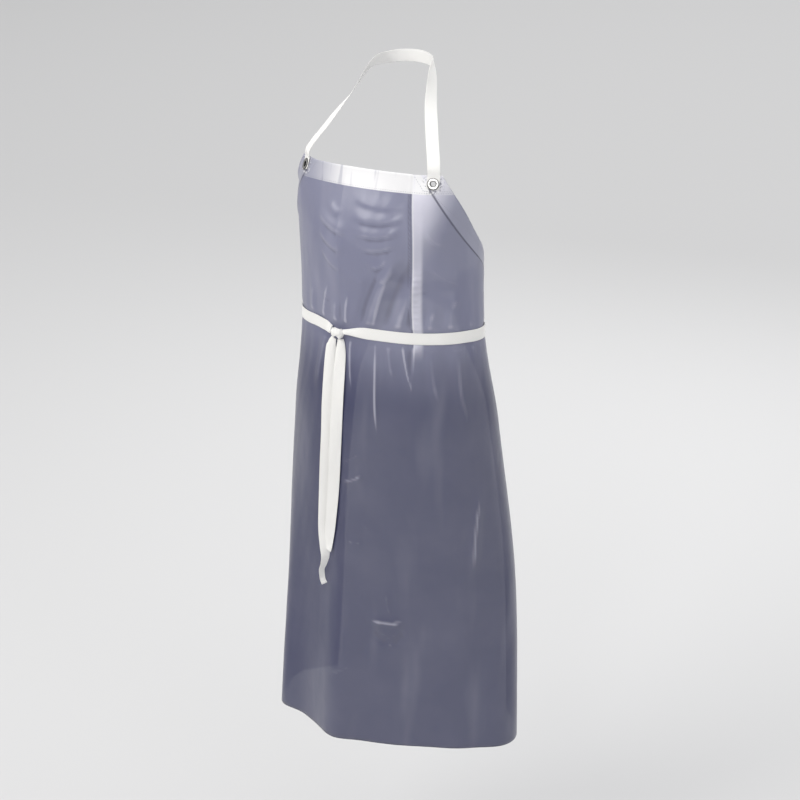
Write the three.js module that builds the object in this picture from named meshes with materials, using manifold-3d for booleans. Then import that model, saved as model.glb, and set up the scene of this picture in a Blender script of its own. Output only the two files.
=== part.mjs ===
// A translucent vinyl bib apron in its worn shape: a thin sheet wrapped round an absent wearer, faced at the
// bib and armholes, with a cotton neck strap and two cotton waist ties held on by metal eyelets.
//
// Millimetres, +Z up. The wearer faces -Y and the wearer's left is +X. The origin is the middle of the neck
// strap's inner face at the nape, which is what the whole apron hangs from.
//
// Everything lies on one form, the outside of the clothed body. A place on it is an angle round the body,
// 0 at the front and positive towards the wearer's left, and a drop below the bib's top edge. The lift of a
// layer is its distance outwards from the form, and the vinyl sheet is the layer at lift 0.

import * as THREE from "three";
import { mergeVertices } from "three/addons/utils/BufferGeometryUtils.js";
import Module from "manifold-3d";

// Lengths and widths of the cut pieces.
const apronLength = 1180;
const hemWidth = 890;
const sideWidth = 790; // at the foot of the armholes, as the ties gather it
const bibWidth = 304;
const armholeDrop = 246;
const facingDepth = 34; // strip behind the bib's top edge
const armholeFacing = 39; // measured straight across
const armholeHollow = 0.25; // how much of the armhole's width is cut away in its curve
const vinylThickness = 0.4;
const tapeWidth = 23;
const tapeThickness = 1.2;
const endBeyond = 3; // tape past the barrel of the eyelet that holds its end

// Where the wearer holds it.
const neckRise = 165; // nape above the bib's top edge
const napeSetback = 78; // nape behind the middle of the body
const neckHalfWidth = 66;
const collarForward = 60; // the strap passes the side of the neck this far in front of the nape
const collarDip = 16; // and this far below it
const chestDrop = 138;
const waistDrop = 320;
const hipDrop = 511;

// Eyelets and their washers.
const holeRadius = 4.7;
const barrelWall = 0.8;
const flangeWidth = 5.5;
const flangeThickness = 0.8;
const flangeRound = 0.6; // rolled edge of the flange
const washerThickness = 0.7;
const washerInset = 0.5; // how much less than the flange its rim reaches
const barrelTurnover = 0.5; // how far the barrel stands past the washer
const holeClearance = 0.3;
const barrelRadius = holeRadius + barrelWall;
const flangeRadius = barrelRadius + flangeWidth;
const bibEyeletInset = 27; // from the armhole edge, along the sheet
const bibEyeletDrop = 15;
const sideEyeletInset = 24;
const sideEyeletBelow = 24; // below the foot of the armhole
const sidePatchDepth = 56;

// The knot and the two tails that hang from it.
const knotAngle = -17.5;
const knotHalfWidth = 14;
const knotHalfHeight = 13;
const knotHalfDepth = 7.5;
const longTail = 510;
const shortTail = 445;
const tailSpread = 9; // each tail's middle, sideways from the knot's
const tailGap = 2; // below the knot, which is also where the tails turn
const tailClearance = 1; // the tails hang this much further out than a tape that lies on the sheet
const crossingGap = 0.8; // between two tapes or a tape and an eyelet that cross
const knotGap = 0.6;

const layerGap = 0.3;
const bendLift = 9; // the strap bends this far above the bib's edge
const flangeGap = 0.45; // between a tape and the flange that holds it
const washerGap = 1.2; // behind the layers, whose flat facets reach in past the form
const tapeLift = 1.1; // inner face of a tape that lies on the sheet
const tightestRadius = 120; // of the form at an eyelet

// How finely the curved pieces are faceted.
const tapeAcross = 2;
const endFacets = 4;
const roundFaces = 28;
const strapSteps = 48;
const tieStep = 4; // degrees
const tailStep = 30;

const torso = [
  { drop: 0, halfWidth: 222, halfDepth: 72, forward: 47 },
  { drop: chestDrop, halfWidth: 181, halfDepth: 134, forward: 18 },
  { drop: waistDrop, halfWidth: 187, halfDepth: 112, forward: 12 },
  { drop: hipDrop, halfWidth: 210, halfDepth: 141, forward: -2 },
  { drop: (hipDrop + apronLength) / 2, halfWidth: 246, halfDepth: 143, forward: -18 },
  { drop: apronLength, halfWidth: 260, halfDepth: 148, forward: -5 },
];

const wasm = await Module();
wasm.setup();

// ---- the form ----

// The slope of one torso measure at each level, flat where the measure turns, so that it never overshoots.
function slopesOf(key) {
  const steps = torso.slice(1).map((next, i) => {
    const width = next.drop - torso[i].drop;
    return { width, slope: (next[key] - torso[i][key]) / width };
  });
  return torso.map((level, i) => {
    const before = steps[Math.max(i - 1, 0)];
    const after = steps[Math.min(i, steps.length - 1)];
    if (before.slope * after.slope <= 0) return 0;
    const w1 = 2 * after.width + before.width;
    const w2 = after.width + 2 * before.width;
    return (w1 + w2) / (w1 / before.slope + w2 / after.slope);
  });
}

const measures = ["halfWidth", "halfDepth", "forward"];
const slopes = Object.fromEntries(measures.map((key) => [key, slopesOf(key)]));

// The body's section at a drop, by a cubic between the levels.
function sectionAt(drop) {
  const d = THREE.MathUtils.clamp(drop, 0, apronLength);
  let i = 0;
  while (i < torso.length - 2 && d > torso[i + 1].drop) i += 1;
  const width = torso[i + 1].drop - torso[i].drop;
  const t = (d - torso[i].drop) / width;
  const h = [(1 + 2 * t) * (1 - t) ** 2, t * (1 - t) ** 2, t * t * (3 - 2 * t), t * t * (t - 1)];
  return Object.fromEntries(
    measures.map((key) => [
      key,
      h[0] * torso[i][key] +
        h[1] * width * slopes[key][i] +
        h[2] * torso[i + 1][key] +
        h[3] * width * slopes[key][i + 1],
    ]),
  );
}

function onForm(angle, drop) {
  const { halfWidth, halfDepth, forward } = sectionAt(drop);
  const a = THREE.MathUtils.degToRad(angle);
  return new THREE.Vector3(
    halfWidth * Math.sin(a),
    -napeSetback - forward - halfDepth * Math.cos(a),
    -neckRise - drop,
  );
}

// The outward direction, from two short steps on the form.
function outward(angle, drop) {
  const down = onForm(angle, drop + 1).sub(onForm(angle, drop - 1));
  const round = onForm(angle + 0.5, drop).sub(onForm(angle - 0.5, drop));
  return down.cross(round).normalize();
}

function place(angle, drop, lift) {
  return onForm(angle, drop).addScaledVector(outward(angle, drop), lift);
}

// Degrees that a distance along the sheet takes at a place.
function degreesFor(distance, angle, drop) {
  const { halfWidth, halfDepth } = sectionAt(drop);
  const a = THREE.MathUtils.degToRad(angle);
  return THREE.MathUtils.radToDeg(distance / Math.hypot(halfWidth * Math.cos(a), halfDepth * Math.sin(a)));
}

// The angle that a distance from the front centre reaches.
function angleAt(distance, drop) {
  const steps = 60;
  let angle = 0;
  for (let i = 0; i < steps; i += 1) angle += degreesFor(distance / steps, angle, drop);
  return angle;
}

// Half the sheet's width at a drop: hollowed along the armhole, then easing out to the hem.
function halfSheet(drop) {
  const share = THREE.MathUtils.clamp(drop / armholeDrop, 0, 1);
  const armhole = share * (1 - armholeHollow * (1 - share ** 3));
  const skirt = THREE.MathUtils.smoothstep(drop, armholeDrop, apronLength);
  return THREE.MathUtils.lerp(bibWidth, sideWidth, armhole) / 2 + ((hemWidth - sideWidth) / 2) * skirt;
}

// ---- solids ----

// A closed solid between the inner and outer points of a grid, turned if need be so that it faces out.
function solidOf(grid) {
  const rows = grid.length;
  const columns = grid[0].length;
  const positions = [];
  for (const side of ["outer", "inner"]) {
    for (const row of grid) for (const point of row) positions.push(...point[side].toArray());
  }
  const outer = (i, j) => i * columns + j;
  const inner = (i, j) => rows * columns + i * columns + j;
  const index = [];
  const quad = (a, b, c, d) => index.push(a, b, c, a, c, d);
  for (let i = 0; i < rows - 1; i += 1) {
    for (let j = 0; j < columns - 1; j += 1) {
      quad(outer(i, j), outer(i + 1, j), outer(i + 1, j + 1), outer(i, j + 1));
      quad(inner(i, j), inner(i, j + 1), inner(i + 1, j + 1), inner(i + 1, j));
    }
    quad(outer(i, 0), inner(i, 0), inner(i + 1, 0), outer(i + 1, 0));
    quad(outer(i, columns - 1), outer(i + 1, columns - 1), inner(i + 1, columns - 1), inner(i, columns - 1));
  }
  for (let j = 0; j < columns - 1; j += 1) {
    quad(outer(0, j), outer(0, j + 1), inner(0, j + 1), inner(0, j));
    quad(outer(rows - 1, j), inner(rows - 1, j), inner(rows - 1, j + 1), outer(rows - 1, j + 1));
  }
  const corner = (k) => new THREE.Vector3().fromArray(positions, 3 * index[k]);
  let volume = 0;
  for (let k = 0; k < index.length; k += 3) volume += corner(k).dot(corner(k + 1).cross(corner(k + 2)));
  if (volume < 0) index.reverse();
  const geometry = new THREE.BufferGeometry();
  geometry.setAttribute("position", new THREE.Float32BufferAttribute(positions, 3));
  return geometry.setIndex(index);
}

// A layer of the form: rows of [angle, drop] places between two lifts.
function layer(rows, inner, outer) {
  return solidOf(
    rows.map((row) =>
      row.map(([angle, drop]) => ({ inner: place(angle, drop, inner), outer: place(angle, drop, outer) })),
    ),
  );
}

function manifoldOf(geometry) {
  const bare = geometry.clone();
  bare.deleteAttribute("normal");
  bare.deleteAttribute("uv");
  const merged = mergeVertices(bare, 1e-3);
  return new wasm.Manifold(
    new wasm.Mesh({
      numProp: 3,
      vertProperties: merged.attributes.position.array,
      triVerts: new Uint32Array(merged.index.array),
    }),
  );
}

function geometryOf(manifold) {
  const { vertProperties, triVerts } = manifold.getMesh();
  const geometry = new THREE.BufferGeometry();
  geometry.setAttribute("position", new THREE.BufferAttribute(vertProperties, 3));
  return geometry.setIndex(new THREE.BufferAttribute(triVerts, 1));
}

// Turns a shape made along +Y to point outwards at a place on the form.
function standAt(geometry, spot) {
  const turn = new THREE.Quaternion().setFromUnitVectors(
    new THREE.Vector3(0, 1, 0),
    outward(spot.angle, spot.drop),
  );
  const middle = onForm(spot.angle, spot.drop);
  return geometry.applyMatrix4(new THREE.Matrix4().compose(middle, turn, new THREE.Vector3(1, 1, 1)));
}

const drillRadius = barrelRadius + holeClearance;
const drillLength = 20;
function punched(geometry, spots) {
  let solid = manifoldOf(geometry);
  for (const spot of spots) {
    const drill = new THREE.CylinderGeometry(drillRadius, drillRadius, drillLength, roundFaces);
    solid = solid.subtract(manifoldOf(standAt(drill, spot)));
  }
  return geometryOf(solid);
}

// ---- materials ----

const finish = (color, roughness, metalness) => new THREE.MeshStandardMaterial({ color, roughness, metalness });
const vinyl = () => finish(0x8c8ea5, 0.25, 0);
const facing = () => finish(0xc4c4d4, 0.3, 0);
const cotton = () => finish(0xf4f2ea, 0.9, 0);
const nickel = () => finish(0xb9b9b9, 0.3, 1);

const apron = new THREE.Group();
function add(name, geometry, material) {
  const mesh = new THREE.Mesh(geometry, material);
  mesh.name = name;
  apron.add(mesh);
}

// ---- the sheet and its facings ----

// Layers behind the sheet, from the sheet inwards.
const pitch = vinylThickness + layerGap;
const lifts = (depth) => [-depth * pitch - vinylThickness / 2, -depth * pitch + vinylThickness / 2];

const evenly = (from, to, count) => Array.from({ length: count + 1 }, (_, i) => from + ((to - from) * i) / count);
const rowCount = { facing: 2, armhole: 8, patch: 3, hip: 7, skirt: 20 };
const patchFoot = armholeDrop + sidePatchDepth;
const rowDrops = [
  ...evenly(0, facingDepth, rowCount.facing),
  ...evenly(facingDepth, armholeDrop, rowCount.armhole).slice(1),
  ...evenly(armholeDrop, patchFoot, rowCount.patch).slice(1),
  ...evenly(patchFoot, hipDrop, rowCount.hip).slice(1),
  ...evenly(hipDrop, apronLength, rowCount.skirt).slice(1),
];
const footRow = rowCount.facing + rowCount.armhole;

// One row of places from edge to edge. The two columns nearest each edge are the armhole facing's.
const facingColumns = 2;
const innerColumns = 28;
function sheetRow(drop) {
  const half = halfSheet(drop);
  const across = [
    ...evenly(-half, armholeFacing - half, facingColumns),
    ...evenly(armholeFacing - half, half - armholeFacing, innerColumns).slice(1, -1),
    ...evenly(half - armholeFacing, half, facingColumns),
  ];
  return across.map((distance) => [Math.sign(distance) * angleAt(Math.abs(distance), drop), drop]);
}
const sheetRows = rowDrops.map(sheetRow);

const sides = [
  { side: "left", sign: 1 },
  { side: "right", sign: -1 },
];
function spotAt(sign, inset, drop) {
  return { angle: sign * angleAt(halfSheet(drop) - inset, drop), drop };
}
const bibSpots = sides.map(({ sign }) => spotAt(sign, bibEyeletInset, bibEyeletDrop));
const sideSpots = sides.map(({ sign }) => spotAt(sign, sideEyeletInset, armholeDrop + sideEyeletBelow));

add("vinyl_panel", punched(layer(sheetRows, ...lifts(0)), [...bibSpots, ...sideSpots]), vinyl());
add("top_facing", punched(layer(sheetRows.slice(0, rowCount.facing + 1), ...lifts(1)), bibSpots), facing());

// The part of the sheet's grid between two rows that is so many columns wide at one edge.
function edgeRows(sign, firstRow, lastRow, columns) {
  const kept = sign > 0 ? [-columns - 1, undefined] : [0, columns + 1];
  return sheetRows.slice(firstRow, lastRow + 1).map((row) => row.slice(...kept));
}

// How many layers lie behind the sheet at each eyelet, and how far the patches reach in rows and columns.
const bibLayers = 3;
const sideLayers = 1;
const bibPatchColumns = facingColumns + 3;
const sidePatchColumns = facingColumns + 1;

sides.forEach(({ side, sign }, k) => {
  const armhole = layer(edgeRows(sign, 0, footRow, facingColumns), ...lifts(2));
  add(`armhole_facing_${side}`, punched(armhole, [bibSpots[k]]), facing());

  const bibPatch = layer(edgeRows(sign, 0, rowCount.facing, bibPatchColumns), ...lifts(bibLayers));
  add(`bib_patch_${side}`, punched(bibPatch, [bibSpots[k]]), facing());

  const sideRows = edgeRows(sign, footRow, footRow + rowCount.patch, sidePatchColumns);
  add(`side_patch_${side}`, punched(layer(sideRows, ...lifts(sideLayers)), [sideSpots[k]]), facing());
});

// ---- eyelets ----

const hollow = flangeRadius ** 2 / (2 * tightestRadius); // how far the curved sheet leaves a flat washer's rim

function ring(points, spot) {
  const profile = points.map(([radius, height]) => new THREE.Vector2(radius, height));
  return standAt(new THREE.LatheGeometry([...profile, profile[0]], roundFaces), spot);
}

function addEyelet(name, spot, layersBehind) {
  const under = tapeLift + tapeThickness + flangeGap;
  const top = under + flangeThickness;
  const washerTop = lifts(layersBehind)[0] - hollow - washerGap;
  const washerBack = washerTop - washerThickness;
  const foot = washerBack - barrelTurnover;
  const rim = Math.min(flangeRound, flangeThickness);
  const eyelet = [
    [holeRadius, foot],
    [barrelRadius, foot],
    [barrelRadius, under],
    [flangeRadius, under],
    [flangeRadius - rim, under + rim],
    [barrelRadius + barrelWall, top],
    [holeRadius, under + flangeThickness / 2],
  ];
  const washer = [
    [drillRadius, washerBack],
    [flangeRadius - washerInset, washerBack],
    [flangeRadius - washerInset, washerTop],
    [drillRadius, washerTop],
  ];
  add(`${name}_eyelet_${spot.side}`, ring(eyelet, spot), nickel());
  add(`${name}_washer_${spot.side}`, ring(washer, spot), nickel());
}
sides.forEach(({ side }, k) => {
  addEyelet("bib", { ...bibSpots[k], side }, bibLayers);
  addEyelet("side", { ...sideSpots[k], side }, sideLayers);
});

// ---- neck strap ----

// A tape is a grid across its width and along its run, between its two faces.
const tapeOuter = tapeLift + tapeThickness;
const endPastHole = barrelRadius + endBeyond;
const endAboveEdge = 0.5;

sides.forEach(({ side }, k) => {
  const spot = bibSpots[k];
  const half = degreesFor(tapeWidth / 2, spot.angle, spot.drop);
  const rows = evenly(-endAboveEdge, spot.drop + endPastHole, endFacets).map((drop) =>
    evenly(spot.angle - half, spot.angle + half, endFacets).map((angle) => [angle, drop]),
  );
  add(`neck_strap_end_${side}`, punched(layer(rows, tapeLift, tapeOuter), [spot]), cotton());
});

// The strap's middle line and the way its face looks, from the wearer's left corner to the nape. The other
// half mirrors it.
const strapFoot = place(bibSpots[0].angle, 0, tapeLift + tapeThickness / 2).setZ(bendLift - neckRise);
const collar = new THREE.Vector3(neckHalfWidth + tapeThickness / 2, -collarForward, -collarDip);
const nape = new THREE.Vector3(0, tapeThickness / 2, 0);
// A point between two others, by its own share of the way along X, Y and Z.
function between(from, to, ...shares) {
  const span = to.clone().sub(from);
  return from.clone().add(span.multiply(new THREE.Vector3(...shares)));
}
const halfLine = [
  [strapFoot, outward(bibSpots[0].angle, 0)],
  [between(strapFoot, collar, 0.36, 0.32, 0.34), new THREE.Vector3(0.35, -0.85, 0.4)],
  [between(strapFoot, collar, 0.76, 0.7, 0.7), new THREE.Vector3(0.6, -0.4, 0.7)],
  [collar, new THREE.Vector3(0.9, -0.05, 0.45)],
  [between(collar, nape, 0.32, 0.67, 0.81), new THREE.Vector3(0.7, 0.7, 0.15)],
  [nape, new THREE.Vector3(0, 1, 0)],
];
const mirrored = (v) => new THREE.Vector3(-v.x, v.y, v.z);
const otherHalf = halfLine
  .slice(0, -1)
  .reverse()
  .map(([point, face]) => [mirrored(point), mirrored(face)]);
const wholeLine = [...halfLine, ...otherHalf];
const strapCurve = new THREE.CatmullRomCurve3(wholeLine.map(([point]) => point), false, "centripetal");
const faceCurve = new THREE.CatmullRomCurve3(wholeLine.map(([, face]) => face));
const strapGrid = evenly(-0.5, 0.5, tapeAcross).map((share) =>
  evenly(0, 1, strapSteps).map((t) => {
    const tangent = strapCurve.getTangent(t);
    const face = faceCurve.getPoint(t);
    face.addScaledVector(tangent, -face.dot(tangent)).normalize();
    const across = new THREE.Vector3().crossVectors(tangent, face);
    const middle = strapCurve.getPoint(t).addScaledVector(across, share * tapeWidth);
    return {
      inner: middle.clone().addScaledVector(face, -tapeThickness / 2),
      outer: middle.clone().addScaledVector(face, tapeThickness / 2),
    };
  }),
);
add("neck_strap", solidOf(strapGrid), cotton());

// ---- waist ties ----

// Each tie starts under its side eyelet, crosses the other behind the back and comes round to the knot. The
// right tie lies over the left one, so it stands further out across the back. A turn is measured in degrees
// round the body from the front, the way that the tie goes.
const climbShare = 0.4; // of the way to the crossing, over which the upper tie rises clear
const settling = 45; // degrees over which a tie settles after it
function addTie(side, sign, spot, layerOver) {
  const hidden = degreesFor(endPastHole, spot.angle, spot.drop);
  const start = Math.abs(spot.angle) - hidden;
  const stop = 360 + sign * knotAngle - degreesFor(knotHalfWidth + knotGap, knotAngle, waistDrop);
  const slopeStart = Math.abs(spot.angle) + hidden;
  const slopeEnd = 360 - slopeStart;
  const climb = (180 - slopeStart) * climbShare;
  const passDrop = Math.max(waistDrop, spot.drop + tapeWidth + crossingGap); // below the other tie's eyelet
  const level = (turn) => {
    const passing = THREE.MathUtils.lerp(
      spot.drop,
      passDrop,
      THREE.MathUtils.smoothstep(turn, slopeStart, slopeEnd),
    );
    return THREE.MathUtils.lerp(
      passing,
      waistDrop,
      THREE.MathUtils.smoothstep(turn, slopeEnd, slopeEnd + settling),
    );
  };
  const extra = (turn) =>
    layerOver *
    THREE.MathUtils.smoothstep(turn, slopeStart, slopeStart + climb) *
    (1 - THREE.MathUtils.smoothstep(turn, slopeEnd, slopeEnd + settling));
  const grid = evenly(-0.5, 0.5, tapeAcross).map((share) =>
    evenly(start, stop, Math.ceil((stop - start) / tieStep)).map((turn) => {
      const drop = level(turn) + share * tapeWidth;
      const lift = tapeLift + extra(turn);
      return {
        inner: place(sign * turn, drop, lift),
        outer: place(sign * turn, drop, lift + tapeThickness),
      };
    }),
  );
  add(`waist_tie_${side}`, punched(solidOf(grid), [spot]), cotton());
}
addTie("left", 1, sideSpots[0], 0);
addTie("right", -1, sideSpots[1], tapeThickness + crossingGap);

// ---- knot and tails ----

const knotLift = tapeLift + knotHalfDepth;
const knot = new THREE.SphereGeometry(1, 20, 14).scale(knotHalfWidth, knotHalfDepth, knotHalfHeight);
const up = new THREE.Vector3(0, 0, 1);
const ahead = outward(knotAngle, waistDrop).setZ(0).normalize();
const knotFacing = new THREE.Matrix4().makeBasis(ahead.clone().cross(up), ahead, up);
knotFacing.setPosition(place(knotAngle, waistDrop, knotLift));
add("waist_knot", knot.applyMatrix4(knotFacing), cotton());

function addTail(name, length, sideways, lift) {
  const top = waistDrop + Math.max(knotHalfHeight, tapeWidth / 2) + tailGap;
  const grid = evenly(-0.5, 0.5, tapeAcross).map((share) =>
    evenly(top, top + length, Math.ceil(length / tailStep)).map((drop) => {
      const fromKnot = sideways + share * tapeWidth;
      const angle = knotAngle + degreesFor(fromKnot, knotAngle, waistDrop);
      return { inner: place(angle, drop, lift), outer: place(angle, drop, lift + tapeThickness) };
    }),
  );
  add(name, solidOf(grid), cotton());
}
const tailLift = tapeLift + tailClearance;
addTail("tie_tail_short", shortTail, tailSpread, tailLift);
addTail("tie_tail_long", longTail, -tailSpread, tailLift + tapeThickness + crossingGap);

export default apron;
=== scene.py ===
import math
import bpy
import numpy as np
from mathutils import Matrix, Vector


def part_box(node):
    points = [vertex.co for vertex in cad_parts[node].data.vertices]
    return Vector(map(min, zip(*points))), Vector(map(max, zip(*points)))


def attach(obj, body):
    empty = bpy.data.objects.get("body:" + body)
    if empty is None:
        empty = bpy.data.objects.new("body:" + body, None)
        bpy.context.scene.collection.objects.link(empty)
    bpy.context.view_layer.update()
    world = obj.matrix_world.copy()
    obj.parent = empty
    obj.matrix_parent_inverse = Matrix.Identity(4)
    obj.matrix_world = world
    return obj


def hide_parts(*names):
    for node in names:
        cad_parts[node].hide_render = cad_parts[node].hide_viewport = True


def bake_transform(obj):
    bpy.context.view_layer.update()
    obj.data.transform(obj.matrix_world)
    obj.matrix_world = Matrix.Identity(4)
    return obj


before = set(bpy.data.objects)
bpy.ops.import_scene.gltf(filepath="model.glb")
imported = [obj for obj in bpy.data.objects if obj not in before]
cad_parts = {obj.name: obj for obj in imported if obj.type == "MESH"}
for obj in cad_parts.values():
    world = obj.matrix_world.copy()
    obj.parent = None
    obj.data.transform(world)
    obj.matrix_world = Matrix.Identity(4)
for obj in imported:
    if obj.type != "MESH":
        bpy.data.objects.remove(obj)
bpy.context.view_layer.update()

world = bpy.context.scene
mm = 0.001
print("frame loaded")


# camera, floor and light

view = {
    "place": (1.678, -3.081, 0.756),
    "azimuth": 29.2,
    "pitch": 22.3,
    "lens": 86.7,
    "sensor": 36,
    "sideShift": 0.0059,
    "farthest": 100,
}
floorPlan = {"height": -1.75, "halfSide": 40, "colour": (0.60, 0.60, 0.605, 1), "roughness": 0.9}


def makeCamera():
    data = bpy.data.cameras.new("viewCamera")
    data.lens = view["lens"]
    data.sensor_width = view["sensor"]
    data.shift_x = view["sideShift"]
    data.clip_end = view["farthest"]
    camera = bpy.data.objects.new("viewCamera", data)
    camera.location = view["place"]
    camera.rotation_euler = (math.radians(90 - view["pitch"]), 0, math.radians(view["azimuth"]))
    world.collection.objects.link(camera)
    world.camera = camera


lamps = {
    # name: (place, aim, size, watts, colour)
    "keyLamp": ((-1.9, -3.2, 1.9), (0, -0.1, -0.6), 2.6, 86, (1.0, 0.985, 0.96)),
    "frontLamp": ((1.15, -3.9, 0.75), (0, -0.1, -0.45), 0.8, 26, (1.0, 1.0, 1.0)),
    "fillLamp": ((2.9, -1.6, 0.4), (0, -0.1, -0.6), 1.4, 9, (0.95, 0.97, 1.0)),
    "backLamp": ((-0.6, 3.0, 1.0), (0, -0.1, -0.6), 2.4, 34, (1.0, 1.0, 1.0)),
    "ceiling": ((0, 8, 6.5), (0, 8, 0), 26, 1900, (1.0, 1.0, 1.0)),
}
skyLight = {"onObject": 0.24, "seen": 0.70}


def makeLights():
    for name, (place, aim, size, watts, colour) in lamps.items():
        data = bpy.data.lights.new(name, "AREA")
        data.shape = "DISK"
        data.size = size
        data.energy = watts
        data.color = colour
        lamp = bpy.data.objects.new(name, data)
        lamp.location = place
        lamp.rotation_euler = (Vector(aim) - Vector(place)).to_track_quat("-Z", "Y").to_euler()
        world.collection.objects.link(lamp)
    sky = bpy.data.worlds.new("studio")
    sky.use_nodes = True
    tree = sky.node_tree
    ray = tree.nodes.new("ShaderNodeLightPath")
    level = tree.nodes.new("ShaderNodeMapRange")
    level.inputs["To Min"].default_value = skyLight["onObject"]
    level.inputs["To Max"].default_value = skyLight["seen"]
    tree.links.new(ray.outputs["Is Camera Ray"], level.inputs["Value"])
    backdrop = tree.nodes["Background"]
    backdrop.inputs["Color"].default_value = (1.0, 1.0, 1.0, 1)
    tree.links.new(level.outputs["Result"], backdrop.inputs["Strength"])
    world.world = sky
    world.view_settings.view_transform = "Standard"


def makeFloor():
    side, height = floorPlan["halfSide"], floorPlan["height"]
    corners = [(-side, -side, height), (side, -side, height), (side, side, height), (-side, side, height)]
    data = bpy.data.meshes.new("floor")
    data.from_pydata(corners, [], [(0, 1, 2, 3)])
    floor = bpy.data.objects.new("floor", data)
    paint = bpy.data.materials.new("floorPaint")
    paint.use_nodes = True
    shader = paint.node_tree.nodes["Principled BSDF"]
    shader.inputs["Base Color"].default_value = floorPlan["colour"]
    shader.inputs["Roughness"].default_value = floorPlan["roughness"]
    data.materials.append(paint)
    world.collection.objects.link(floor)


makeCamera()
makeLights()
makeFloor()
print("camera, lights and floor made")


# shader writing

class Wire:
    # an output socket; arithmetic on it adds the Math node that does the sum
    def __init__(self, tree, socket):
        self.tree = tree
        self.socket = socket

    def sum(self, operation, *values):
        node = self.tree.nodes.new("ShaderNodeMath")
        node.operation = operation
        for slot, value in zip(node.inputs, values):
            if isinstance(value, Wire):
                self.tree.links.new(value.socket, slot)
            else:
                slot.default_value = value
        return Wire(self.tree, node.outputs[0])

    def __add__(self, other):
        return self.sum("ADD", self, other)

    def __radd__(self, other):
        return self.sum("ADD", other, self)

    def __sub__(self, other):
        return self.sum("SUBTRACT", self, other)

    def __rsub__(self, other):
        return self.sum("SUBTRACT", other, self)

    def __mul__(self, other):
        return self.sum("MULTIPLY", self, other)

    def __rmul__(self, other):
        return self.sum("MULTIPLY", other, self)

    def __truediv__(self, other):
        return self.sum("DIVIDE", self, other)

    def sine(self):
        return self.sum("SINE", self)

    def root(self):
        return self.sum("SQRT", self)

    def size(self):
        return self.sum("ABSOLUTE", self)

    def most(self, other):
        return self.sum("MAXIMUM", self, other)

    def least(self, other):
        return self.sum("MINIMUM", self, other)

    # 0 below low, 1 above high, smooth between
    def ramp(self, low, high):
        node = self.tree.nodes.new("ShaderNodeMapRange")
        node.interpolation_type = "SMOOTHSTEP"
        self.tree.links.new(self.socket, node.inputs["Value"])
        node.inputs["From Min"].default_value = low
        node.inputs["From Max"].default_value = high
        return Wire(self.tree, node.outputs["Result"])


class Finish:
    # one material: a Principled shader and the nodes that feed it
    def __init__(self, name, **fixed):
        self.material = bpy.data.materials.new(name)
        self.material.use_nodes = True
        self.tree = self.material.node_tree
        self.shader = self.tree.nodes["Principled BSDF"]
        for socket, value in fixed.items():
            self.shader.inputs[socket.replace("_", " ")].default_value = value

    def add(self, kind, settings, sockets, output=0):
        node = self.tree.nodes.new(kind)
        for key, value in settings.items():
            setattr(node, key, value)
        for key, value in sockets.items():
            if isinstance(value, Wire):
                self.tree.links.new(value.socket, node.inputs[key])
            else:
                node.inputs[key].default_value = value
        return Wire(self.tree, node.outputs[output])

    def mix(self, factor, first, second):
        # a Mix node's colour sockets are its inputs 6 and 7 and its output 2
        fix = lambda c: c if isinstance(c, Wire) else (*c, 1)
        return self.add(
            "ShaderNodeMix", {"data_type": "RGBA"}, {0: factor, 6: fix(first), 7: fix(second)}, output=2
        )

    def noise(self, where, scale, detail=3.0, rough=0.5):
        sockets = {"Vector": where, "Scale": scale, "Detail": detail, "Roughness": rough}
        return self.add("ShaderNodeTexNoise", {}, sockets)

    def objectPlace(self):
        return self.add("ShaderNodeTexCoord", {}, {}, output="Object")

    def cutPlace(self):
        # a piece's own map: metres across it and metres down or along it
        place = self.add("ShaderNodeUVMap", {"uv_map": "cut"}, {})
        across = self.add("ShaderNodeSeparateXYZ", {}, {"Vector": place})
        along = Wire(self.tree, across.socket.node.outputs[1])
        return place, across, along

    def attribute(self, name):
        return self.add("ShaderNodeAttribute", {"attribute_name": name}, {}, output="Fac")

    def stretched(self, where, scale):
        return self.add("ShaderNodeMapping", {"vector_type": "POINT"}, {"Vector": where, "Scale": scale})

    def feed(self, **wires):
        for socket, wire in wires.items():
            self.tree.links.new(wire.socket, self.shader.inputs[socket.replace("_", " ")])

    def bump(self, height, strength, distance):
        sockets = {"Height": height, "Strength": strength, "Distance": distance}
        self.feed(Normal=self.add("ShaderNodeBump", {}, sockets))


# the form that the apron is worn on

# half width, half depth and how far forward the middle stands, at each drop below the bib's edge
form = {
    "drop": (0, 0.138, 0.320, 0.511, 0.8455, 1.180),
    "halfWidth": (0.222, 0.181, 0.187, 0.210, 0.246, 0.260),
    "halfDepth": (0.072, 0.134, 0.112, 0.141, 0.143, 0.148),
    "forward": (0.047, 0.018, 0.012, -0.002, -0.018, -0.005),
    "napeSetback": 0.078,
}
cut = {
    "bibWidth": 0.304,
    "sideWidth": 0.790,
    "hemWidth": 0.890,
    "armholeDrop": 0.246,
    "bandDepth": 0.034,
    "armholeHollow": 0.25,
    "armholeBand": 0.039,
    "thickness": 0.0004,
    "area": 0.919,
}
panelLow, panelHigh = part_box("vinyl_panel")
bibTop = panelHigh.z
apronLength = panelHigh.z - panelLow.z
waistDrop = form["drop"][2]


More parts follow.
